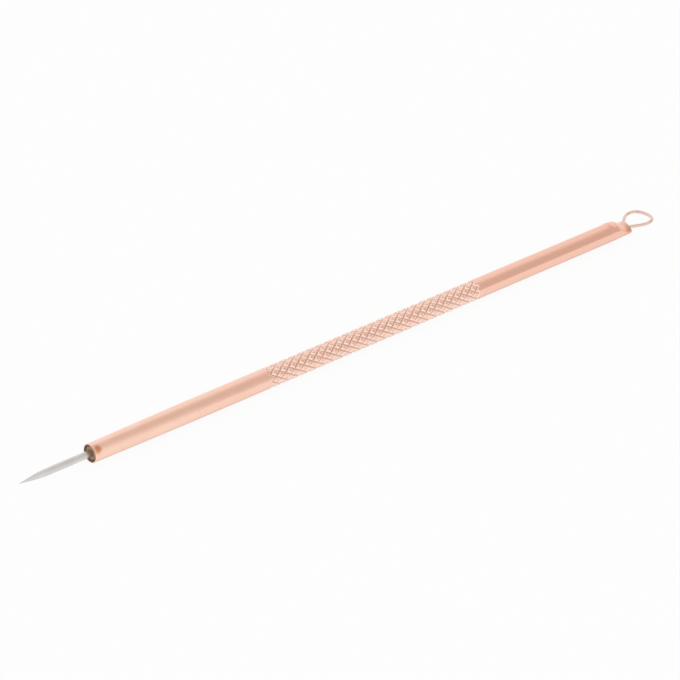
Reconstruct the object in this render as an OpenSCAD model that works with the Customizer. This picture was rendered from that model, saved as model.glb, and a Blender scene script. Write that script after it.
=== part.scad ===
// Double-ended blackhead extractor: a slim knurled tube with a lancet needle at one end
// and a wire loop at the other. +X runs from the needle to the loop, +Z is up,
// and the tool lies on its side on Z = 0 with the loop level.

/* [Handle tube] */
// Length of the tube from its mouth to its crimped end
tube_len = 105.4; // [90:0.1:120]
// Outer diameter of the plain shank
tube_d = 3.0; // [2.8:0.1:4]
// Wall thickness of the tube
wall = 0.35; // [0.3:0.05:0.4]
// Length of the swaged taper behind the mouth
taper_len = 18; // [12:1:24]
// How much the radius shrinks at the mouth
taper_drop = 0.15; // [0.1:0.01:0.24]
// Radius of the bore at the mouth
mouth_r = 1.12; // [1.1:0.01:1.14]

/* [Knurled grip] */
// Where the knurling starts, measured from the mouth
grip_start = 30.9; // [26:0.1:36]
// Number of whole diamonds along the grip
diamonds_long = 24; // [12:1:28]
// Number of diamonds around the tube
diamonds_round = 8; // [7:1:9]
// Length of one diamond along the tube
diamond_len = 1.7; // [1.4:0.05:2]
// How far the diamond lands stand above the plain shank
land_rise = 0.02; // [0.01:0.01:0.04]
// Depth of the V grooves between the diamonds
groove_depth = 0.22; // [0.16:0.01:0.23]
// Share of a diamond that one groove flank takes, on each side
flank_share = 0.2; // [0.15:0.01:0.3]

/* [Needle] */
// Diameter of the needle
needle_d = 1.0; // [0.7:0.1:1.2]
// Length of the needle in front of the mouth
needle_out = 11.8; // [8:0.1:16]
// Length of the ground point
point_len = 4.6; // [3:0.2:6]

/* [Needle plug] */
// Diameter of the plug that holds the needle
plug_d = 2.0; // [1.9:0.05:2.1]
// Depth of the plug's face behind the mouth
plug_recess = 0.4; // [0.3:0.1:2]
// Length of the plug
plug_len = 6; // [4:0.5:8]

/* [Crimped end] */
// Width of the flattened end
press_width = 3.0; // [2.9:0.05:3.3]
// Height of the flattened end
press_height = 1.9; // [1.8:0.05:2.2]
// How far the middle of the flattened end lies below the tube's axis
press_drop = 0.35; // [0.2:0.05:0.4]
// Roll of the flattened end about the tube's axis, in degrees
press_roll = 8; // [0:1:12]
// Wall thickness of the flattened end
press_wall = 0.25; // [0.2:0.01:0.3]
// Length of the pressed flat
press_len = 0.7; // [0.4:0.1:1.4]
// Length of the step from the round tube to the pressed flat
step_len = 2.4; // [1.6:0.1:3]
// Height of the bulge that the press pushes up ahead of the step
bulge_rise = 0.09; // [0:0.01:0.14]
// Length of that bulge
bulge_len = 1.6; // [1:0.1:2]

/* [Loop] */
// Diameter of the loop wire
wire_d = 0.5; // [0.3:0.05:0.6]
// Reach of the wire's centre line beyond the tube's end
loop_reach = 4.85; // [3.6:0.05:6]
// Half of the loop's width, on the wire's centre line
loop_half_width = 2.2; // [1.6:0.05:3]
// Half of the distance between the two legs
leg_half_gap = 0.45; // [0.4:0.05:0.5]
// How far the legs lie below the tube's axis
leg_drop = 0.1; // [0:0.05:0.2]
// Upward bend of the loop's plane, in degrees
loop_tilt = 7.5; // [0:0.5:15]
// Length of the legs held inside the tube
leg_len = 4; // [3:0.5:4]

/* [Hidden] */
$fn = 64;

rose_gold = [0.87, 0.68, 0.60];
needle_steel = [0.72, 0.71, 0.70];
plug_steel = [0.50, 0.46, 0.42];

tube_r = tube_d / 2;
bore_r = tube_r - wall;
land_r = tube_r + land_rise;
groove_r = land_r - groove_depth;

// The mouth's rounded lip, and the cone steps of the swaged taper
lip_r = (tube_r - taper_drop - mouth_r) / 2;
lip_steps = 6;
taper_steps = 12;
taper_power = 1.3;

// The needle's point and its plug
needle_r = needle_d / 2;
point_steps = 10;
point_power = 1.75;
plug_r = plug_d / 2;
plug_end = plug_recess + plug_len;
plug_chamfer = 0.15;
bore_step_len = 4;

// The bare tube under the knurled skin, and the overlaps that join the skin to it
skin_overlap = 0.03;
core_clearance = 0.02;
core_r = groove_r * cos(90 / diamonds_round) - core_clearance;
skin_inner_r = core_r - skin_overlap;
skin_run_in = 0.3;
skin_run_in_depth = 0.05;
skin_run_in_r = tube_r - skin_run_in_depth;
points_per_diamond = 5;
back_point = 3;
front_point = 4;
row_count = 2 * diamonds_long;
row_gap = diamond_len / 2;
grip_end = grip_start + diamonds_long * diamond_len;
half_turn = 180 / diamonds_round;
land_half_turn = half_turn * (1 - 2 * flank_share);
land_half_len = row_gap * (1 - 2 * flank_share);

// The pressed end is one loft that starts inside the wall of the exact tube
loft_sides = 36;
loft_inset = 0.005;
loft_lead = 0.2;
loft_overlap = 0.6;
bulge_steps = 4;
step_steps = 6;
press_start = tube_len - press_len;
step_start = press_start - step_len;
bulge_start = step_start - bulge_len;
exact_end = bulge_start - loft_lead;
loft_start = exact_end - loft_overlap;
loft_x = concat([loft_start, bulge_start],
                [for (k = [1:bulge_steps]) bulge_start + bulge_len * k / bulge_steps],
                [for (k = [1:step_steps]) step_start + step_len * k / step_steps],
                [tube_len]);
lens_power = 1.7;
end_recess = 0.25;
plug_behind_legs = 0.3;
loop_plug_start = tube_len - leg_len - plug_behind_legs;

// The loop's outline: a drawn-in flank to the widest point, then a blunt rounded end
widest_share = 0.64;
widest_x = widest_share * loop_reach;
blunt_power = 2.5;
flank_steps = 9;
front_steps = 10;
wire_sides = 12;
wire_r = wire_d / 2;
flank_root = 0.2;
flank_lead = 0.35;
flank_pull = 1.2;

loop_end = tube_len + loop_reach * cos(loop_tilt) + wire_r;
mid_x = (loop_end - needle_out) / 2;

// Puts the tool in its own frame: centred along X, resting on Z = 0
module lay_down() {
    translate([-mid_x, 0, land_r]) children();
}

// Turns an outline drawn as [radius, distance along the tube] round the X axis
module turn(points) {
    rotate([0, 90, 0]) rotate_extrude() polygon(points);
}

function polar(x, r, angle) = [x, r * cos(angle), r * sin(angle)];

// Faces of a quad given in turn as seen from outside, wound the way a polyhedron wants them
function quad(a, b, c, d) = [[a, c, b], [a, d, c]];

// Faces of the strip that joins ring a to ring b, where each ring is a list of point numbers
function strip(a, b) = [for (s = [0:len(a) - 1])
    let (t = (s + 1) % len(a)) each quad(a[s], a[t], b[t], b[s])];

function ring_numbers(ring, size) = [for (s = [0:size - 1]) ring * size + s];

function backwards(list) = [for (k = [len(list) - 1:-1:0]) list[k]];

// Joins rings of points into a solid bar with a flat face at each end
module bar(rings) {
    size = len(rings[0]);
    last = len(rings) - 1;
    polyhedron([for (ring = rings) each ring],
               concat([for (k = [0:last - 1]) each strip(ring_numbers(k, size), ring_numbers(k + 1, size))],
                      [ring_numbers(0, size), backwards(ring_numbers(last, size))]));
}

// Joins rings of points into a hollow sleeve: the last ring closes on the first
module sleeve(rings) {
    size = len(rings[0]);
    count = len(rings);
    polyhedron([for (ring = rings) each ring],
               [for (k = [0:count - 1])
                   each strip(ring_numbers(k, size), ring_numbers((k + 1) % count, size))]);
}

// Radius of the swaged outside at a distance x from the mouth
function taper_r(x) = tube_r - taper_drop * pow(1 - x / taper_len, taper_power);

// The seamless tube with its swaged mouth, its bored inside and the turned-down grip core
module bare_tube() {
    lip = [for (k = [0:lip_steps])
        let (angle = 180 * k / lip_steps)
        [mouth_r + lip_r * (1 - cos(angle)), lip_r * (1 - sin(angle))]];
    taper = [for (k = [1:taper_steps])
        let (x = taper_len * k / taper_steps) [taper_r(x), x]];
    core_start = grip_start - skin_run_in / 3;
    core_end = grip_end + skin_run_in / 3;
    turn(concat(lip, taper,
                [[tube_r, core_start], [core_r, core_start], [core_r, core_end], [tube_r, core_end],
                 [tube_r, exact_end], [bore_r, exact_end], [bore_r, plug_end + bore_step_len],
                 [plug_r, plug_end], [plug_r, plug_recess]]));
}

// The knurled skin. Two families of V grooves cross at corner points, and each diamond between
// them keeps a land with a left, right, back and front corner. Rows alternate by half a diamond.
function row_x(row) = grip_start + row * row_gap;
function corner_angle(row, place) = half_turn * (2 * place + row % 2);
function diamond_points(row, place) =
    let (x = row_x(row), middle = corner_angle(row, place) + half_turn)
    [polar(x, groove_r, corner_angle(row, place)),
     polar(x, land_r, middle - land_half_turn),
     polar(x, land_r, middle + land_half_turn),
     polar(max(x - land_half_len, grip_start), land_r, middle),
     polar(min(x + land_half_len, grip_end), land_r, middle)];

// Point numbers of one diamond: its groove corner, then its land's four corners
function number(row, place, which) =
    points_per_diamond * (row * diamonds_round + place % diamonds_round) + which;

function diamond_faces(row, place) =
    let (left = number(row, place, 1), right = number(row, place, 2),
         back = number(row, place, back_point), front = number(row, place, front_point),
         corner_left = number(row, place, 0), corner_right = number(row, place + 1, 0),
         corner_back = number(row - 1, place + row % 2, 0),
         corner_front = number(row + 1, place + row % 2, 0))
    concat([[left, front, back], [right, back, front]],
           row == 0 ? [] : concat(quad(corner_left, corner_back, back, left),
                                  quad(corner_back, corner_right, right, back)),
           row == row_count ? [] : concat(quad(corner_right, corner_front, front, right),
                                          quad(corner_front, corner_left, left, front)));

// The rim of the skin at one end, in turn: groove corner, left, middle and right of each land
function rim_numbers(row, middle) = [for (place = [0:diamonds_round - 1])
    each [number(row, place, 0), number(row, place, 1), number(row, place, middle),
          number(row, place, 2)]];

// A ring of points with the rim's spacing, hidden in the wall past the end of the grip
function hidden_rim(row, x, corner_r, middle_r) = [for (place = [0:diamonds_round - 1])
    let (middle = corner_angle(row, place) + half_turn)
    each [polar(x, corner_r, middle - half_turn), polar(x, middle_r, middle - land_half_turn),
          polar(x, middle_r, middle), polar(x, middle_r, middle + land_half_turn)]];

module knurled_skin() {
    places = [0:diamonds_round - 1];
    diamonds = [for (row = [0:row_count]) for (place = places) each diamond_points(row, place)];
    low_x = grip_start - skin_run_in;
    high_x = grip_end + skin_run_in;
    hidden = concat(hidden_rim(row_count, high_x, groove_r, skin_run_in_r),
                    hidden_rim(row_count, high_x, skin_inner_r, skin_inner_r),
                    hidden_rim(0, low_x, skin_inner_r, skin_inner_r),
                    hidden_rim(0, low_x, groove_r, skin_run_in_r));
    rim_size = 4 * diamonds_round;
    first_hidden = len(diamonds);
    hidden_ring = [for (k = [0:3]) [for (s = [0:rim_size - 1]) first_hidden + k * rim_size + s]];
    rings = concat([rim_numbers(row_count, front_point)], hidden_ring, [rim_numbers(0, back_point)]);
    polyhedron(concat(diamonds, hidden),
               concat([for (row = [0:row_count]) for (place = places) each diamond_faces(row, place)],
                      [for (k = [0:len(rings) - 2]) each strip(rings[k], rings[k + 1])]));
}

// How far the tube is on its way from round, 0, to flattened, 1
function smooth(t) = t * t * (3 - 2 * t);
function press_share(x) = smooth(min(max((x - step_start) / step_len, 0), 1));

// Height of the bulge ahead of the step
function bulge_at(x) = x <= bulge_start || x >= step_start ? 0 :
    bulge_rise * pow(sin(180 * (x - bulge_start) / bulge_len), 2);

function mix(a, b, t) = a + (b - a) * t;

// Cosine or sine of a section's angle, drawn in so that the section turns from an oval to a lens
function lensed(part, t) = sign(part) * pow(abs(part), 2 / mix(2, lens_power, t));

// The tube's section at x: a circle of radius r that turns into a low lens, depth under the skin
function pressed_ring(x, r, depth) =
    let (t = press_share(x), roll = press_roll * t,
         half_width = mix(r, press_width / 2 - depth, t),
         half_height = mix(r, press_height / 2 - depth, t))
    [for (s = [0:loft_sides - 1])
        let (angle = 360 * s / loft_sides, aside = half_width * lensed(cos(angle), t),
             up = half_height * lensed(sin(angle), t) + bulge_at(x) * pow((1 + sin(angle)) / 2, 2))
        [x, aside * cos(roll) - up * sin(roll),
         aside * sin(roll) + up * cos(roll) - press_drop * t]];

module crimped_end() {
    sleeve(concat([for (x = loft_x) pressed_ring(x, tube_r - loft_inset, 0)],
                  [for (x = backwards(loft_x)) pressed_ring(x, bore_r + loft_inset, press_wall)]));
}

module handle_tube() {
    color(rose_gold) lay_down() {
        bare_tube();
        knurled_skin();
        crimped_end();
    }
}

// A ground lancet: a straight shank with a slightly convex point
module needle() {
    point = [for (k = [0:point_steps])
        let (t = k / point_steps)
        [needle_r * (1 - pow(1 - t, point_power)), point_len * t - needle_out]];
    color(needle_steel) lay_down() turn(concat(point, [[needle_r, plug_end], [0, plug_end]]));
}

// A bush pressed into the swaged mouth, with a chamfer on its outer face
module needle_plug() {
    color(plug_steel) lay_down()
        turn([[needle_r, plug_recess], [plug_r - plug_chamfer, plug_recess],
              [plug_r, plug_recess + plug_chamfer], [plug_r, plug_end], [needle_r, plug_end]]);
}

// The plug in the crimped end: it fills the pressed bore and holds the two legs
module loop_plug() {
    front_x = tube_len - end_recess;
    stations = concat([loop_plug_start], [for (x = loft_x) if (x > loop_plug_start && x < front_x) x],
                      [front_x]);
    color(plug_steel) lay_down() difference() {
        bar([for (x = stations) pressed_ring(x, bore_r + loft_inset, press_wall)]);
        for (side = [-1, 1])
            translate([tube_len - leg_len, side * leg_half_gap, -leg_drop]) rotate([0, 90, 0])
                cylinder(r = wire_r, h = leg_len + end_recess);
    }
}

// A point of the loop: distance along the tool from the tube's end, and distance to the side
function in_loop(along, aside) = along <= 0 ? [tube_len + along, aside, -leg_drop] :
    [tube_len + along * cos(loop_tilt), aside, along * sin(loop_tilt) - leg_drop];
function bezier(a, b, c, d, t) =
    pow(1 - t, 3) * a + 3 * t * pow(1 - t, 2) * b + 3 * t * t * (1 - t) * c + pow(t, 3) * d;

// One side of the loop: leg, drawn-in flank, then a quarter of a blunt oval
loop_side = concat(
    [[-leg_len, leg_half_gap]],
    [for (k = [0:flank_steps])
        bezier([-flank_root, leg_half_gap], [flank_lead, leg_half_gap],
               [widest_x - flank_pull, loop_half_width], [widest_x, loop_half_width], k / flank_steps)],
    [for (k = [1:front_steps - 1])
        let (angle = 90 * k / front_steps, power = 2 / blunt_power)
        [widest_x + (loop_reach - widest_x) * pow(sin(angle), power),
         loop_half_width * pow(cos(angle), power)]]);
loop_path = concat([for (p = loop_side) in_loop(p[0], p[1])],
                   [in_loop(loop_reach, 0)],
                   [for (p = backwards(loop_side)) in_loop(p[0], -p[1])]);

// A ring of the wire's surface round the path at point k
function wire_ring(k) =
    let (before = loop_path[max(k - 1, 0)], after = loop_path[min(k + 1, len(loop_path) - 1)],
         travel = (after - before) / norm(after - before),
         across = cross([0, 0, 1], travel), side = across / norm(across),
         rise = cross(travel, side))
    [for (s = [0:wire_sides - 1])
        let (angle = 360 * s / wire_sides)
        loop_path[k] + wire_r * (cos(angle) * side + sin(angle) * rise)];

module loop_wire() {
    color(rose_gold) lay_down() bar([for (k = [0:len(loop_path) - 1]) wire_ring(k)]);
}

handle_tube();
needle();
needle_plug();
loop_plug();
loop_wire();
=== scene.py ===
"""Looks, light and camera for the double-ended blackhead extractor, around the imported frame."""
import math

import bpy
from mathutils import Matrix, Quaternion, Vector


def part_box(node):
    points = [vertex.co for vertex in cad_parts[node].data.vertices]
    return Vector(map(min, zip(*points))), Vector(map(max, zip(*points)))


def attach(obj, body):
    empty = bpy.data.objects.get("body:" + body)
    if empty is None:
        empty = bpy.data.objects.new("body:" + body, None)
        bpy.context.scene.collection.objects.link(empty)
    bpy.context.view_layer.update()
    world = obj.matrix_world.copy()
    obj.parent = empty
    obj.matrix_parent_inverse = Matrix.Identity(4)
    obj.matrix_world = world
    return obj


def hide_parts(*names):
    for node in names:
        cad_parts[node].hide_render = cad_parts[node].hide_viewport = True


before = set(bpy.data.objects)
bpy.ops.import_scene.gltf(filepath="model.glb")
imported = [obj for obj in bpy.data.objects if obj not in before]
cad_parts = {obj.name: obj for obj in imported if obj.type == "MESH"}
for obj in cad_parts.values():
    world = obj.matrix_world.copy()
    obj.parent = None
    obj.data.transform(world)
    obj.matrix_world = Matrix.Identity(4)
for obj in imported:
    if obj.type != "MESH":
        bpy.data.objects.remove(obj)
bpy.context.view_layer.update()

MM = 0.001
BODY = "root"

# Where the frame's pieces are, in metres. Places along the tube are measured from its mouth.
tube_low, tube_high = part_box("handle_tube")
needle_low, needle_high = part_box("needle")
MOUTH_X = tube_low[0]
END_X = tube_high[0]
TUBE_LEN = END_X - MOUTH_X
AXIS_Z = (needle_high[2] + needle_low[2]) / 2


def span(node):
    """Where a node starts and ends along the tube."""
    low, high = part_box(node)
    return low[0] - MOUTH_X, high[0] - MOUTH_X


def node_radius(node):
    """Half a round node's width."""
    low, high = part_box(node)
    return (high[1] - low[1]) / 2


NEEDLE_TIP, NEEDLE_END = span("needle")
PLUG_FACE, PLUG_END = span("needle_plug")
FILLER_START, FILLER_END = span("loop_plug")
NEEDLE_R = node_radius("needle")
PLUG_R = node_radius("needle_plug")

# The tube, as part.scad has it
TUBE_R = 1.5 * MM
BORE_R = 1.15 * MM
TAPER_LEN = 18 * MM
TAPER_DROP = 0.15 * MM
TAPER_POWER = 1.3
MOUTH_R = 1.12 * MM
GRIP_START = 30.9 * MM
DIAMOND_LEN = 1.7 * MM
DIAMONDS_LONG = 24
DIAMONDS_ROUND = 8
LAND_R = 1.52 * MM
GROOVE_DEPTH = 0.22 * MM
PRESS_HALF_WIDTH = 1.5 * MM
PRESS_HALF_HEIGHT = 0.95 * MM
PRESS_DROP = 0.35 * MM
PRESS_ROLL = math.radians(8)
PRESS_WALL = 0.25 * MM
PRESS_LEN = 0.7 * MM
STEP_LEN = 2.4 * MM
BULGE_RISE = 0.09 * MM
BULGE_LEN = 1.6 * MM
LENS_POWER = 1.7


# Mesh helpers. Rings are lists of (x, y, z) with x from the mouth and z from the tube's axis.

def place(point):
    """A point measured from the mouth and the axis, in the frame."""
    return (MOUTH_X + point[0], point[1], AXIS_Z + point[2])


def make_piece(name, points, faces, marks, material, node, slot):
    """A smooth closed piece that stands for a node; marks are its materials' point attributes."""
    mesh = bpy.data.meshes.new(name)
    mesh.from_pydata([place(p) for p in points], [], faces)
    mesh.update()
    for mark, values in marks.items():
        mesh.attributes.new(mark, "FLOAT", "POINT").data.foreach_set("value", values)
    mesh.polygons.foreach_set("use_smooth", [True] * len(mesh.polygons))
    mesh.materials.append(material)
    piece = bpy.data.objects.new(name, mesh)
    bpy.context.scene.collection.objects.link(piece)
    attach(piece, BODY)
    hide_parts(node)


def strip(first, second):
    """Quads between two rings of point numbers, facing out where the second has the larger x."""
    count = len(first)
    return [(first[s], first[(s + 1) % count], second[(s + 1) % count], second[s])
            for s in range(count)]


def numbers(ring, size, start=0):
    """The point numbers of a ring, where the first of such rings begins at start."""
    return [start + ring * size + s for s in range(size)]


def flat(rings):
    return [point for ring in rings for point in ring]


def circle(x, radius, angles):
    return [(x, radius * math.cos(a), radius * math.sin(a)) for a in angles]


def even_angles(count):
    return [math.tau * s / count for s in range(count)]


def turned(profile, sides):
    """A closed solid of revolution: profile is [(x, radius)] and starts and ends on the axis."""
    angles = even_angles(sides)
    rings = [circle(x, radius, angles) for x, radius in profile[1:-1]]
    points = flat(rings)
    faces = []
    for k in range(len(rings) - 1):
        faces += strip(numbers(k, sides), numbers(k + 1, sides))
    start = len(points)
    points += [(profile[0][0], 0, 0), (profile[-1][0], 0, 0)]
    last = (len(rings) - 1) * sides
    for s in range(sides):
        follow = (s + 1) % sides
        faces.append((start, follow, s))
        faces.append((start + 1, last + s, last + follow))
    return points, faces


def smooth(t):
    t = min(max(t, 0.0), 1.0)
    return t * t * (3 - 2 * t)


def mix(a, b, t):
    return a + (b - a) * t


def stations(start, end, steps):
    return [mix(start, end, k / steps) for k in range(steps + 1)]


def arc(center_x, center_r, radius, start, end, steps):
    """Points (x, r) on a circle from one angle to the other; angle 0 points along +x."""
    turns = [math.radians(turn) for turn in stations(start, end, steps)]
    return [(center_x + radius * math.cos(a), center_r + radius * math.sin(a)) for a in turns]


# The knurl. Grooves lie on whole numbers of two slanted coordinates; a diamond lies between them.

# Grid lines from a groove to the middle of a diamond, closest where the surface bends
HALF_CUTS = [0.0, 0.04, 0.1, 0.155, 0.19, 0.25, 0.36]
CELL_CUTS = HALF_CUTS + [0.5] + [1 - cut for cut in reversed(HALF_CUTS[1:])]
CUTS = len(CELL_CUTS)
HALF_TURN = math.pi / DIAMONDS_ROUND
ROWS = 2 * DIAMONDS_LONG
ROUND_STEPS = CUTS * DIAMONDS_ROUND
LONG_STEPS = CUTS * ROWS

# Distances from a groove line, in diamonds: to the edge of its floor, of its flank and to the
# middle of a land. The crown is how far a land's edge drops, as a share of the depth.
GROOVE_FLOOR = 0.035
GROOVE_HALF = 0.185
LAND_CREST = 0.5
FLANK_EASE = 0.45
CROWN = 0.17


def slanted(index):
    """The slanted coordinate of a grid line: whole at the grooves, with CUTS lines to each."""
    return index // CUTS + CELL_CUTS[index % CUTS]


# Every ring of the tube has the knurl's own angles, so that they join point to point.
RING_ANGLES = [2 * HALF_TURN * slanted(k) for k in range(ROUND_STEPS)]


def flank(distance):
    """Height share of the knurl's surface at a distance from the nearest groove line."""
    t = (distance - GROOVE_FLOOR) / (GROOVE_HALF - GROOVE_FLOOR)
    t = min(max(t, 0.0), 1.0)
    return mix(t, smooth(t), FLANK_EASE)


def crown(distance):
    """How far a land drops at a distance from the nearest groove line, as a share of the depth."""
    t = (distance - GROOVE_HALF) / (LAND_CREST - GROOVE_HALF)
    return CROWN * (1 - min(max(t, 0.0), 1.0)) ** 2


def knurl_height(a, b):
    near_a = abs(a - round(a))
    near_b = abs(b - round(b))
    return min(flank(near_a), flank(near_b)) * (1 - crown(near_a) - crown(near_b))


def knurl_radius(a, b):
    return LAND_R - GROOVE_DEPTH * (1 - knurl_height(a, b))


def knurl_point(across, along):
    """Point of the knurl at along steps past the row of corners and across steps round the tube."""
    a = slanted(across + along)
    b = slanted(across)
    angle = (a + b) * HALF_TURN
    radius = knurl_radius(a, b)
    x = GRIP_START + (a - b) * DIAMOND_LEN / 2
    return (x, radius * math.cos(angle), radius * math.sin(angle))


def groove_distance(across, along):
    """How far a point of the knurl is from the nearest groove line, in diamonds."""
    a = slanted(across + along)
    b = slanted(across)
    return min(abs(a - round(a)), abs(b - round(b)))


def knurl_mesh():
    """The skin of the knurl, open at both ends, and how far each point is from a groove."""
    places = [(s, k) for k in range(LONG_STEPS + 1) for s in range(ROUND_STEPS)]
    points = [knurl_point(s, k) for s, k in places]
    crest = [groove_distance(s, k) for s, k in places]

    def number(k, s):
        return k * ROUND_STEPS + s % ROUND_STEPS

    faces = []
    for k in range(LONG_STEPS + 1):
        for s in range(ROUND_STEPS):
            corners = [number(k, s)]
            if k > 0:
                corners.append(number(k - 1, s + 1))
            corners.append(number(k, s + 1))
            if k < LONG_STEPS:
                corners.append(number(k + 1, s))
            faces.append(tuple(corners))
    return points, faces, crest


# The pressed end

PRESS_START = TUBE_LEN - PRESS_LEN
STEP_START = PRESS_START - STEP_LEN
BULGE_START = STEP_START - BULGE_LEN


def press_share(x):
    """How far the tube is on its way from round, 0, to flattened, 1."""
    return smooth((x - STEP_START) / STEP_LEN)


def bulge_at(x):
    """How far the top of the tube swells just before it steps down."""
    if x <= BULGE_START or x >= STEP_START:
        return 0.0
    return BULGE_RISE * math.sin(math.pi * (x - BULGE_START) / BULGE_LEN) ** 2


def lensed(part, t):
    """A sine or cosine, drawn out so that a circle turns into a pointed lens as t goes to 1."""
    return math.copysign(abs(part) ** (2 / mix(2, LENS_POWER, t)), part)


def pressed(x, radius, depth, angles, shape_x=None):
    """The section at x, a circle that turns into a low lens, at a depth under the outside.

    Where shape_x is given, it is that place's section, moved to x.
    """
    at = x if shape_x is None else shape_x
    t = press_share(at)
    roll = PRESS_ROLL * t
    half_width = mix(radius, PRESS_HALF_WIDTH - depth, t)
    half_height = mix(radius, PRESS_HALF_HEIGHT - depth, t)
    ring = []
    for a in angles:
        aside = half_width * lensed(math.cos(a), t)
        up = half_height * lensed(math.sin(a), t) + bulge_at(at) * ((1 + math.sin(a)) / 2) ** 2
        ring.append((x, aside * math.cos(roll) - up * math.sin(roll),
                     aside * math.sin(roll) + up * math.cos(roll) - PRESS_DROP * t))
    return ring


def taper_r(x):
    """The swaged tube's radius at x."""
    return TUBE_R - TAPER_DROP * max(1 - x / TAPER_LEN, 0.0) ** TAPER_POWER


# The whole tube: bore, lip, swaged outside, knurl, pressed end and back inside, as one skin

LIP_R = (TUBE_R - TAPER_DROP - MOUTH_R) / 2
LIP_STEPS = 14
BARE_LIP_RINGS = 9
BORE_CONE = 4 * MM
BORE_OVERLAP = 0.3 * MM
FLARE_ALONG, FLARE_OUT = 0.6, 0.8
TAPER_STEPS = 24
TAPER_SPACING = 1.3
PLAIN_STATIONS = (20 * MM, 23 * MM, 26 * MM, 28.5 * MM)
RUN_OUT = 0.28 * MM
GRIP_END = GRIP_START + DIAMONDS_LONG * DIAMOND_LEN
PLAIN_STEPS = 8
PRESS_STEPS = 40
END_LIP = 0.05 * MM
BACK_STEPS = 24
RIM_OUTSIDE = (-72, 0, 4)
RIM_INSIDE = (0, 90, 5)


def mouth_profile():
    """(x, radius) from inside the bore round the lip, bare metal, and on to the knurl, plated."""
    inner = [(FILLER_START - BORE_OVERLAP, BORE_R), (PLUG_END + BORE_CONE, BORE_R),
             (PLUG_END, PLUG_R), (PLUG_FACE, PLUG_R),
             (mix(PLUG_FACE, LIP_R, FLARE_ALONG), mix(PLUG_R, MOUTH_R, FLARE_OUT))]
    lip = arc(LIP_R, MOUTH_R + LIP_R, LIP_R, 270, 90, LIP_STEPS)
    taper = [TAPER_LEN * (k / TAPER_STEPS) ** TAPER_SPACING for k in range(2, TAPER_STEPS + 1)]
    plain = [*PLAIN_STATIONS, GRIP_START - RUN_OUT - END_LIP, GRIP_START - RUN_OUT]
    plated = [(x, taper_r(x)) for x in taper] + [(x, TUBE_R) for x in plain]
    return inner + lip[:BARE_LIP_RINGS], lip[BARE_LIP_RINGS:] + plated


def end_rings():
    """Rings from the knurl along the pressed end, plated, and round its rim and back in, bare."""
    plain = [GRIP_END + RUN_OUT, GRIP_END + RUN_OUT + END_LIP]
    plain += stations(GRIP_END, BULGE_START, PLAIN_STEPS)[1:-1]
    plated = [circle(x, TUBE_R, RING_ANGLES) for x in plain]
    plated += [pressed(x, TUBE_R, 0, RING_ANGLES)
               for x in stations(BULGE_START, TUBE_LEN - END_LIP, PRESS_STEPS)]
    rim = arc(TUBE_LEN - END_LIP, END_LIP, END_LIP, *RIM_OUTSIDE)
    rim += arc(TUBE_LEN - END_LIP, PRESS_WALL - END_LIP, END_LIP, *RIM_INSIDE)
    bare = [pressed(x, TUBE_R, depth, RING_ANGLES, TUBE_LEN) for x, depth in rim]
    bare += [pressed(x, BORE_R, PRESS_WALL, RING_ANGLES)
             for x in stations(TUBE_LEN - 2 * END_LIP, FILLER_START, BACK_STEPS)]
    return plated, bare


def tube_mesh():
    """One closed skin: from the bore out of the mouth, along the outside and back in."""
    size = ROUND_STEPS
    bare_mouth, plated_mouth = mouth_profile()
    front = [circle(x, r, RING_ANGLES) for x, r in bare_mouth + plated_mouth]
    knurl_points, knurl_faces, knurl_crest = knurl_mesh()
    plated_end, bare_end = end_rings()
    back = plated_end + bare_end
    first_knurl = len(front) * size
    first_back = first_knurl + len(knurl_points)
    faces = []
    for k in range(len(front) - 1):
        faces += strip(numbers(k, size), numbers(k + 1, size))
    faces += [tuple(first_knurl + v for v in face) for face in knurl_faces]
    faces += strip(numbers(len(front) - 1, size), numbers(0, size, first_knurl))
    faces += strip(numbers(LONG_STEPS, size, first_knurl), numbers(0, size, first_back))
    for k in range(len(back) - 1):
        faces += strip(numbers(k, size, first_back), numbers(k + 1, size, first_back))
    faces += strip(numbers(len(back) - 1, size, first_back), numbers(0, size))
    plated_rings = len(plated_mouth) + LONG_STEPS + 1 + len(plated_end)
    bare = [1.0] * len(bare_mouth) + [0.0] * plated_rings + [1.0] * len(bare_end)
    crest = [LAND_CREST] * first_knurl + knurl_crest + [LAND_CREST] * (len(back) * size)
    marks = {"crest": crest, "bare": [value for value in bare for _ in range(size)]}
    return flat(front) + knurl_points + flat(back), faces, marks


# The needle, a shank with a ground point, and the bush that holds it

POINT_LEN = 4.6 * MM
POINT_POWER = 1.75
POINT_HOLLOW = 1.25
POINT_STEPS = 32
POINT_SPACING = 1.4
SHANK_START = 1.5 * POINT_LEN
NEEDLE_SIDES = 48
BRAZE_CLIMB = 0.2 * MM
BRAZE_REACH = 0.9 * MM
BUSH_STEPS = 16
BUSH_SIDES = 64


def needle_mesh():
    """A slim, slightly hollow point on a shank that is brazed over near the mouth."""
    profile = [(NEEDLE_TIP, 0.0)]
    for k in range(1, POINT_STEPS + 1):
        t = (k / POINT_STEPS) ** POINT_SPACING
        profile.append((NEEDLE_TIP + POINT_LEN * t,
                        NEEDLE_R * (1 - (1 - t ** POINT_HOLLOW) ** POINT_POWER)))
    shank = (NEEDLE_TIP + SHANK_START, -BRAZE_REACH, -BRAZE_REACH / 2, NEEDLE_END)
    profile += [(x, NEEDLE_R) for x in shank]
    profile.append((NEEDLE_END, 0.0))
    points, faces = turned(profile, NEEDLE_SIDES)
    braze = [smooth((p[0] + BRAZE_REACH) / BRAZE_REACH * 2) for p in points]
    return points, faces, {"braze": braze}


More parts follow.
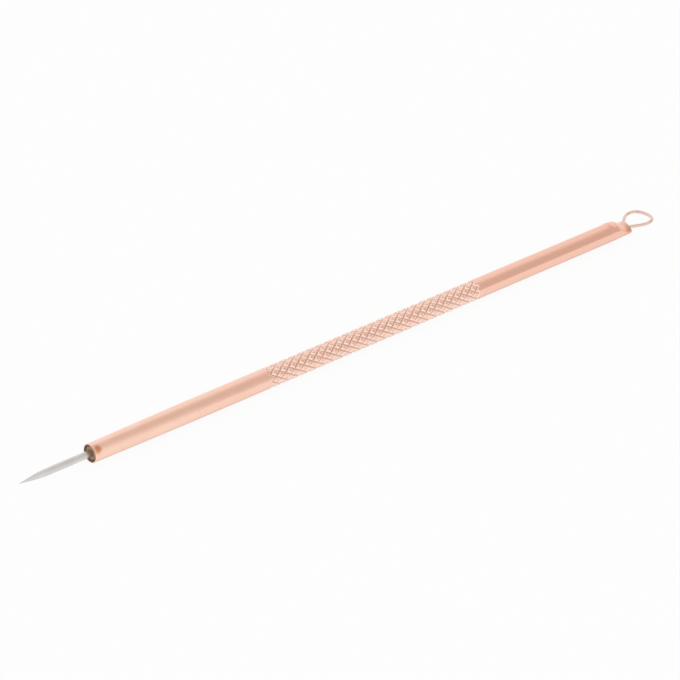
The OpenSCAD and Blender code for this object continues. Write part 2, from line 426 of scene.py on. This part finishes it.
def bush_mesh():
    """The bush round the needle; the braze on its face climbs the shank and the bore."""
    profile = [(PLUG_END, NEEDLE_R)]
    for share in stations(0, 1, BUSH_STEPS):
        across = 2 * share - 1
        profile.append((PLUG_FACE - BRAZE_CLIMB * across * across, mix(NEEDLE_R, PLUG_R, share)))
    profile.append((PLUG_END, PLUG_R))
    points = flat(circle(x, r, even_angles(BUSH_SIDES)) for x, r in profile)
    faces = []
    for k in range(len(profile)):
        faces += strip(numbers(k, BUSH_SIDES), numbers((k + 1) % len(profile), BUSH_SIDES))
    return points, faces, {}


# The loop wire and the filler between its legs

WIRE_R = 0.25 * MM
WIRE_SIDES = 24
LOOP_REACH = 4.85 * MM
LOOP_HALF_WIDTH = 2.2 * MM
LOOP_TILT = math.radians(7.5)
LOOP_BEND = 0.4 * MM
WIDEST_AT = 0.64 * LOOP_REACH
BLUNT_POWER = 2.5
LEG_HALF_GAP = 0.45 * MM
LEG_LEN = 4 * MM
LEG_DROP = 0.1 * MM
LEG_STEPS = 10
LEG_STOP = 0.95
SIDE_HANDLES = ((-0.2 * MM, LEG_HALF_GAP), (0.35 * MM, LEG_HALF_GAP),
                (WIDEST_AT - 1.2 * MM, LOOP_HALF_WIDTH), (WIDEST_AT, LOOP_HALF_WIDTH))
CURVE_STEPS = 36
FILLER_SIDES = 48
FILLER_STEPS = 20
FILLER_EDGE = 0.05 * MM
# How far in and how far back each ring of the filler's face lies
FACE_RINGS = ((0.05 * MM, 0.02 * MM), (0.12 * MM, 0), (0.3 * MM, 0), (0.5 * MM, 0))


def bezier(points, t):
    """A point of the cubic curve with these four handles."""
    a, b, c, d = [Vector(p) for p in points]
    u = 1 - t
    return u ** 3 * a + 3 * t * u * u * b + 3 * t * t * u * c + t ** 3 * d


def in_loop(along, aside):
    """A point of the wire's middle line in space: the loop bends up out of the legs' plane."""
    if along <= 0:
        return Vector((TUBE_LEN + along, aside, -LEG_DROP))
    rise = along * along / (2 * LOOP_BEND) if along < LOOP_BEND else along - LOOP_BEND / 2
    lift = math.tan(LOOP_TILT) * rise
    return Vector((TUBE_LEN + along * math.cos(LOOP_TILT), aside,
                   lift * math.cos(LOOP_TILT) - LEG_DROP))


def loop_path():
    """The wire's middle line, from one leg's end round the teardrop to the other's."""
    side = [Vector((-LEG_LEN + LEG_LEN * k / LEG_STEPS * LEG_STOP, LEG_HALF_GAP))
            for k in range(LEG_STEPS)]
    side += [bezier(SIDE_HANDLES, t) for t in stations(0, 1, CURVE_STEPS)]
    power = 2 / BLUNT_POWER
    for k in range(1, CURVE_STEPS):
        angle = math.pi / 2 * k / CURVE_STEPS
        side.append(Vector((WIDEST_AT + (LOOP_REACH - WIDEST_AT) * math.sin(angle) ** power,
                            LOOP_HALF_WIDTH * math.cos(angle) ** power)))
    half = [in_loop(p[0], p[1]) for p in side]
    other = [in_loop(p[0], -p[1]) for p in reversed(side)]
    return half + [in_loop(LOOP_REACH, 0)] + other


def capped(rings):
    """A closed bar through rings of points, with a flat face at each end."""
    size = len(rings[0])
    faces = []
    for k in range(len(rings) - 1):
        faces += strip(numbers(k, size), numbers(k + 1, size))
    faces.append(tuple(reversed(numbers(0, size))))
    faces.append(tuple(numbers(len(rings) - 1, size)))
    return flat(rings), faces, {}


def wire_mesh():
    """Round wire along the loop's path, with both ends cut flat."""
    path = loop_path()
    rings = []
    for k, center in enumerate(path):
        travel = (path[min(k + 1, len(path) - 1)] - path[max(k - 1, 0)]).normalized()
        side = Vector((0, 0, 1)).cross(travel).normalized()
        rise = travel.cross(side)
        rings.append([tuple(center + WIRE_R * (math.cos(a) * side + math.sin(a) * rise))
                      for a in even_angles(WIRE_SIDES)])
    return capped(rings)


def filler_mesh():
    """The plug between the legs: it fills the pressed bore and has a softly edged face."""
    angles = even_angles(FILLER_SIDES)
    rings = [pressed(x, BORE_R, PRESS_WALL, angles)
             for x in stations(FILLER_START, FILLER_END - FILLER_EDGE, FILLER_STEPS)]
    for inset, back in FACE_RINGS:
        rings.append(pressed(FILLER_END - back, BORE_R, PRESS_WALL + inset, angles, TUBE_LEN))
    return capped(rings)


# Materials. A pair of tones is a metal's own colour and the deeper one that its patches lean to.

TUBE_TONES = ("ffd8c4", "f6c4ac")
WIRE_TONES = ("efd0c6", "c49d93")
NEEDLE_TONES = ("dddcda", "c5c3c1")
PLUG_TONES = ("b8a38c", "a08a76")
PLUG_METALLIC = 0.35
LOOP_END_TONE = "f8c6b1"
BARE_BRASS = "97705b"
BARE_ROUGHNESS = 0.55
BRAZE = "a38b77"
BRAZE_ROUGHNESS = 0.5
COATED_METALLIC = 0.35

# Colour and cover of the knurl against the distance from the nearest groove line, in diamonds:
# painted shade in the groove floors and a painted highlight on the lands' edges
KNURL_TONES = ((0.0, "d8aa99"), (0.07, "e4b6a4"), (0.12, "ffe6d6"),
               (0.22, "ffeee2"), (0.28, "ffcdb8"), (0.5, "fdc5b0"))
KNURL_COVER = ((0.0, 1.0), (0.34, 0.9), (0.44, 0.6), (0.495, 0.0))

# Soft tinted patches near the tube's ends, an orange-brown one just behind the lip and painted
# shade on the pressed end: colour, centre, size and strength
TUBE_PATCHES_AND_END_SHADE = (("d4946a", (0.58 * MM, -1.05 * MM, 0.85 * MM), (0.8 * MM, 0.85 * MM, 0.85 * MM), 1.0),
              ("dea184", (TUBE_LEN - 0.2 * MM, -0.9 * MM, -0.1 * MM),
               (2.2 * MM, 1.6 * MM, 1.3 * MM), 0.6))


def linear(hex_colour):
    """The scene's linear colour of an sRGB hex colour."""
    parts = [int(hex_colour[k:k + 2], 16) / 255 for k in (0, 2, 4)]
    return [c / 12.92 if c <= 0.04045 else ((c + 0.055) / 1.055) ** 2.4 for c in parts] + [1.0]


class Nodes:
    """The node tree of a material or world, with short calls for the nodes used here."""

    def __init__(self, owner):
        owner.use_nodes = True
        self.owner = owner
        self.tree = owner.node_tree
        self.shader = self.tree.nodes.get("Principled BSDF")

    def add(self, kind, **settings):
        """A new node; each setting is one of its own, or else the value of an input."""
        node = self.tree.nodes.new(kind)
        for key, value in settings.items():
            if hasattr(node, key):
                setattr(node, key, value)
            else:
                node.inputs[key.replace("_", " ")].default_value = value
        return node

    def link(self, source, target):
        self.tree.links.new(source, target)

    def place(self, scale):
        """Object coordinates, stretched by scale."""
        where = self.add("ShaderNodeTexCoord")
        mapping = self.add("ShaderNodeMapping")
        mapping.inputs["Scale"].default_value = scale
        self.link(where.outputs["Object"], mapping.inputs["Vector"])
        return mapping.outputs["Vector"]

    def noise(self, scale, stretch=(1, 1, 1), detail=3.0, roughness=0.55):
        """Noise with scale cells to the metre, drawn out along an axis where stretch is small."""
        node = self.add("ShaderNodeTexNoise")
        node.inputs["Scale"].default_value = scale
        node.inputs["Detail"].default_value = detail
        node.inputs["Roughness"].default_value = roughness
        self.link(self.place(stretch), node.inputs["Vector"])
        return node.outputs["Fac"]

    def along(self, start, end):
        """How far a point is on its way from one x to another, 0 to 1."""
        parts = self.add("ShaderNodeSeparateXYZ")
        self.link(self.place((1, 1, 1)), parts.inputs[0])
        return self.remap(parts.outputs["X"], 0.0, 1.0, start, end)

    def ramp(self, factor, stops, easing="LINEAR"):
        """The colour between stops of (position, colour)."""
        node = self.add("ShaderNodeValToRGB")
        node.color_ramp.interpolation = easing
        node.color_ramp.elements[0].position = stops[0][0]
        node.color_ramp.elements[0].color = stops[0][1]
        node.color_ramp.elements[1].position = stops[-1][0]
        node.color_ramp.elements[1].color = stops[-1][1]
        for position, colour in stops[1:-1]:
            node.color_ramp.elements.new(position).color = colour
        self.link(factor, node.inputs["Fac"])
        return node.outputs["Color"]

    def remap(self, factor, low, high, from_low=0.0, from_high=1.0):
        """low where the factor is at or under from_low, high where it is at or over from_high."""
        node = self.add("ShaderNodeMapRange")
        node.inputs["From Min"].default_value = from_low
        node.inputs["From Max"].default_value = from_high
        node.inputs["To Min"].default_value = low
        node.inputs["To Max"].default_value = high
        self.link(factor, node.inputs["Value"])
        return node.outputs["Result"]

    def blend(self, first, second, factor, mode="MIX"):
        """Two colours or values mixed; each of the three may be a number, a colour or a socket."""
        node = self.add("ShaderNodeMix", data_type="RGBA", blend_type=mode)
        for socket, value in ((node.inputs[6], first), (node.inputs[7], second),
                              (node.inputs[0], factor)):
            if hasattr(value, "is_linked"):
                self.link(value, socket)
            else:
                socket.default_value = value
        return node.outputs[2]

    def bump(self, height, distance, strength):
        node = self.add("ShaderNodeBump", Strength=strength, Distance=distance)
        self.link(height, node.inputs["Height"])
        return node.outputs["Normal"]

    def mark(self, name):
        """A piece's own point attribute."""
        return self.add("ShaderNodeAttribute", attribute_name=name).outputs["Fac"]

    def coated(self, colour, rough, mark, coat, coat_rough):
        """Colour and roughness where a duller coat lies over the metal, as far as its mark says."""
        cover = self.mark(mark)
        self.link(self.remap(cover, 1.0, COATED_METALLIC), self.shader.inputs["Metallic"])
        return self.blend(colour, linear(coat), cover), self.blend(rough, grey(coat_rough), cover)

    def finished(self, colour, rough, normal):
        """The material, with its shader wired up."""
        self.link(colour, self.shader.inputs["Base Color"])
        self.link(rough, self.shader.inputs["Roughness"])
        self.link(normal, self.shader.inputs["Normal"])
        return self.owner


def grey(value):
    return (value, value, value, 1.0)


def rose_gold(name, tones, is_tube=False):
    """Polished rose-gold plating: faint draw lines, cloudy polish and a deeper tone in patches."""
    n = Nodes(bpy.data.materials.new(name))
    n.shader.inputs["Metallic"].default_value = 1.0
    lines = n.noise(1500.0, stretch=(0.12, 1, 1), detail=5.0, roughness=0.6)
    polish = n.noise(700.0, stretch=(0.5, 1, 1))
    rough = n.blend(n.remap(lines, 0.13, 0.2), n.remap(polish, 0.12, 0.24), 0.5)
    clouds = n.remap(n.noise(420.0), 0.0, 0.35, from_low=0.35, from_high=0.75)
    colour = n.blend(linear(tones[0]), linear(tones[1]), clouds)
    if is_tube:
        colour = n.blend(colour, linear(LOOP_END_TONE), n.along(MOUTH_X, END_X))
        # The knurl: painted shade in its grooves and a painted highlight on its lands' edges
        colour = n.blend(colour, *painted_groove_shade_and_land_edge_glint(n))
        # Tinted patches: an orange-brown one behind the lip, and painted shade on the pressed end
        for tint, centre, size, strength in TUBE_PATCHES_AND_END_SHADE:
            colour = n.blend(colour, linear(tint), soft_patch(n, centre, size, strength))
        colour, rough = n.coated(colour, rough, "bare", BARE_BRASS, BARE_ROUGHNESS)
    return n.finished(colour, rough, n.bump(lines, 0.004 * MM, 0.5))


def painted_groove_shade_and_land_edge_glint(n):
    """Colour and cover of the knurl: painted shade, deep tan, in the groove floors, and a painted
    highlight, pale, along the lands' edges, thinned in random patches.
    """
    crest = n.mark("crest")
    patchy = n.remap(n.noise(900.0), 0.0, 0.45, from_low=0.5, from_high=0.8)
    tone = n.ramp(crest, [(position, linear(colour)) for position, colour in KNURL_TONES])
    cover = n.ramp(crest, [(position, grey(share)) for position, share in KNURL_COVER])
    return tone, n.blend(cover, grey(0.0), patchy)


def soft_patch(n, centre, size, strength):
    """Cover of a soft patch round a point of the tube, with a ragged edge."""
    mapping = n.add("ShaderNodeMapping", vector_type="TEXTURE")
    mapping.inputs["Location"].default_value = place(centre)
    mapping.inputs["Scale"].default_value = size
    n.link(n.add("ShaderNodeTexCoord").outputs["Object"], mapping.inputs["Vector"])
    reach = n.add("ShaderNodeVectorMath", operation="LENGTH")
    n.link(mapping.outputs["Vector"], reach.inputs[0])
    ragged = n.blend(reach.outputs["Value"], n.noise(1800.0, detail=2.0), 0.25)
    return n.remap(ragged, strength, 0.0, from_low=0.35, from_high=0.85)


def ground_steel(name, tones, roughness, metallic=1.0, brazed=False):
    """Ground steel: fine rings left by the wheel round the axis, and a little cloudiness."""
    n = Nodes(bpy.data.materials.new(name))
    n.shader.inputs["Metallic"].default_value = metallic
    rings = n.noise(2600.0, stretch=(1, 0.08, 0.08), detail=4.0, roughness=0.6)
    clouds = n.remap(n.noise(500.0), 0.0, 0.5, from_low=0.3, from_high=0.8)
    colour = n.blend(linear(tones[0]), linear(tones[1]), clouds)
    rough = n.remap(rings, roughness - 0.05, roughness + 0.07)
    if brazed:
        colour, rough = n.coated(colour, rough, "braze", BRAZE, BRAZE_ROUGHNESS)
    return n.finished(colour, rough, n.bump(rings, 0.005 * MM, 0.6))


tube_metal = rose_gold("tube_rose_gold", TUBE_TONES, is_tube=True)
wire_metal = rose_gold("wire_rose_gold", WIRE_TONES)
needle_metal = ground_steel("needle_steel", NEEDLE_TONES, 0.3, brazed=True)
plug_metal = ground_steel("plug_steel", PLUG_TONES, 0.55, metallic=PLUG_METALLIC)

make_piece("tube", *tube_mesh(), tube_metal, "handle_tube", "plated_tube")
make_piece("lancet", *needle_mesh(), needle_metal, "needle", "needle_steel")
make_piece("bush", *bush_mesh(), plug_metal, "needle_plug", "plug_steel")
make_piece("filler", *filler_mesh(), plug_metal, "loop_plug", "plug_steel")
make_piece("loop", *wire_mesh(), wire_metal, "loop_wire", "plated_wire")


# Floor and world. The world is the only light: a white room, so colours render as written.

FLOOR_HALF = 1.5
FLOOR_GREY = 0.9

# How much of the paper is plain white to the camera, in the metal, and in the metal where the tool
# lies close over it. The rest is the lit paper, with the shadow on it.
WHITE_TO_CAMERA = 0.93
WHITE_IN_METAL = 0.93
WHITE_AT_CONTACT = 0.35
CONTACT_REACH = 1 * MM
CONTACT_SAMPLES = 8

# The strip runs across the ceiling at an angle, skewed and leaning, and fades at both ends.
STRIP_COLOUR = (0.7, 0.63, 0.595, 1.0)
STRIP_ANGLE = math.radians(134)
STRIP_LEAN = 1.6
STRIP_SKEW = 3.5
STRIP_EDGE = (0.63, 0.95)
STRIP_X = 0.6
STRIP_ENDS = (0.14, 0.42)

# Its twin behind, and a panel overhead towards the needle's side
FAINT_COLOUR = (0.97, 0.945, 0.945, 1.0)
PANEL_COLOUR = (0.72, 0.66, 0.64, 1.0)
PANEL_EDGE = (0.7, 0.95)
PANEL_SIDE = (0.1, 0.35)


def floor():
    """Pale paper that looks white to the camera and in the metal, and keeps the tool's shadow."""
    mesh = bpy.data.meshes.new("floor")
    corners = [(-FLOOR_HALF, -FLOOR_HALF, 0), (FLOOR_HALF, -FLOOR_HALF, 0),
               (FLOOR_HALF, FLOOR_HALF, 0), (-FLOOR_HALF, FLOOR_HALF, 0)]
    mesh.from_pydata(corners, [], [(0, 1, 2, 3)])
    n = Nodes(bpy.data.materials.new("floor_paper"))
    n.shader.inputs["Base Color"].default_value = grey(FLOOR_GREY)
    n.shader.inputs["Roughness"].default_value = 1.0
    path = n.add("ShaderNodeLightPath")
    to_camera = n.remap(path.outputs["Is Camera Ray"], 0.0, WHITE_TO_CAMERA)
    nearby = n.add("ShaderNodeAmbientOcclusion", samples=CONTACT_SAMPLES, Distance=CONTACT_REACH)
    in_metal = n.remap(nearby.outputs["AO"], WHITE_AT_CONTACT, WHITE_IN_METAL)
    share = n.add("ShaderNodeMath", operation="MULTIPLY_ADD")
    n.link(path.outputs["Is Glossy Ray"], share.inputs[0])
    n.link(in_metal, share.inputs[1])
    n.link(to_camera, share.inputs[2])
    both = n.add("ShaderNodeMixShader")
    n.link(share.outputs["Value"], both.inputs["Fac"])
    n.link(n.shader.outputs["BSDF"], both.inputs[1])
    n.link(n.add("ShaderNodeEmission", Color=grey(1.0)).outputs["Emission"], both.inputs[2])
    n.link(both.outputs["Shader"], n.tree.nodes["Material Output"].inputs["Surface"])
    mesh.materials.append(n.owner)
    piece = bpy.data.objects.new("floor", mesh)
    bpy.context.scene.collection.objects.link(piece)


def leaning_strip(n, way, offset, angle):
    """How far a direction lies in a darker strip of ceiling, at an angle above the floor."""
    skew = n.add("ShaderNodeMath", operation="MULTIPLY")
    skew.inputs[1].default_value = math.copysign(STRIP_SKEW, math.cos(angle))
    n.link(offset, skew.inputs[0])
    turned_way = n.add("ShaderNodeVectorRotate", rotation_type="X_AXIS")
    n.link(way, turned_way.inputs["Vector"])
    n.link(skew.outputs["Value"], turned_way.inputs["Angle"])
    facing = n.add("ShaderNodeVectorMath", operation="DOT_PRODUCT")
    middle = Vector((STRIP_LEAN, math.cos(angle), math.sin(angle))).normalized()
    facing.inputs[1].default_value = middle
    n.link(turned_way.outputs["Vector"], facing.inputs[0])
    across = n.ramp(facing.outputs["Value"],
                    [(STRIP_EDGE[0], grey(0.0)), (STRIP_EDGE[1], grey(1.0))], "EASE")
    distance = n.add("ShaderNodeMath", operation="ABSOLUTE")
    n.link(offset, distance.inputs[0])
    return n.blend(grey(0.0), across, n.remap(distance.outputs["Value"], 1.0, 0.0, *STRIP_ENDS))


def studio_world():
    """A white room with a darker strip of ceiling, its faint twin behind, and a dim panel."""
    world = bpy.data.worlds.new("studio")
    n = Nodes(world)
    way = n.add("ShaderNodeTexCoord").outputs["Generated"]
    parts = n.add("ShaderNodeSeparateXYZ")
    n.link(way, parts.inputs[0])
    offset = n.add("ShaderNodeMath", operation="SUBTRACT")
    offset.inputs[1].default_value = STRIP_X
    n.link(parts.outputs["X"], offset.inputs[0])
    front = leaning_strip(n, way, offset.outputs["Value"], STRIP_ANGLE)
    behind = leaning_strip(n, way, offset.outputs["Value"], math.pi - STRIP_ANGLE)
    room = n.blend(grey(1.0), STRIP_COLOUR, front)
    room = n.blend(room, FAINT_COLOUR, behind, "MULTIPLY")
    overhead = n.remap(parts.outputs["Z"], 0.0, 1.0, *PANEL_EDGE)
    beside = n.remap(parts.outputs["X"], 1.0, 0.0, *PANEL_SIDE)
    panel = n.blend(grey(1.0), PANEL_COLOUR, overhead)
    room = n.blend(room, panel, beside, "MULTIPLY")
    seen = n.blend(room, grey(1.0), n.add("ShaderNodeLightPath").outputs["Is Camera Ray"])
    n.link(seen, n.tree.nodes["Background"].inputs["Color"])
    bpy.context.scene.world = world


floor()
studio_world()


# The camera: where the photograph was taken from, fitted to the tube, needle and loop in it

CAMERA_FROM_MOUTH = Vector((-183.4, -245.7, 172.0)) * MM
CAMERA_AZIMUTH = math.radians(-42.9)
CAMERA_ELEVATION = math.radians(27)
CAMERA_ROLL = math.radians(-0.1)
CAMERA_FOCAL = 140.93
SENSOR = 36.0
CLIP_START, CLIP_END = 0.01, 20


def make_camera():
    data = bpy.data.cameras.new("camera")
    data.lens = CAMERA_FOCAL
    data.sensor_width = SENSOR
    data.clip_start = CLIP_START
    data.clip_end = CLIP_END
    camera = bpy.data.objects.new("camera", data)
    bpy.context.scene.collection.objects.link(camera)
    back = Vector((math.sin(CAMERA_AZIMUTH) * math.cos(CAMERA_ELEVATION),
                   -math.cos(CAMERA_AZIMUTH) * math.cos(CAMERA_ELEVATION),
                   math.sin(CAMERA_ELEVATION)))
    camera.location = Vector(place(CAMERA_FROM_MOUTH))
    level = (-back).to_track_quat("-Z", "Y")
    camera.rotation_euler = (level @ Quaternion((0, 0, 1), CAMERA_ROLL)).to_euler()
    bpy.context.scene.camera = camera


make_camera()
bpy.context.scene.view_settings.view_transform = "Standard"
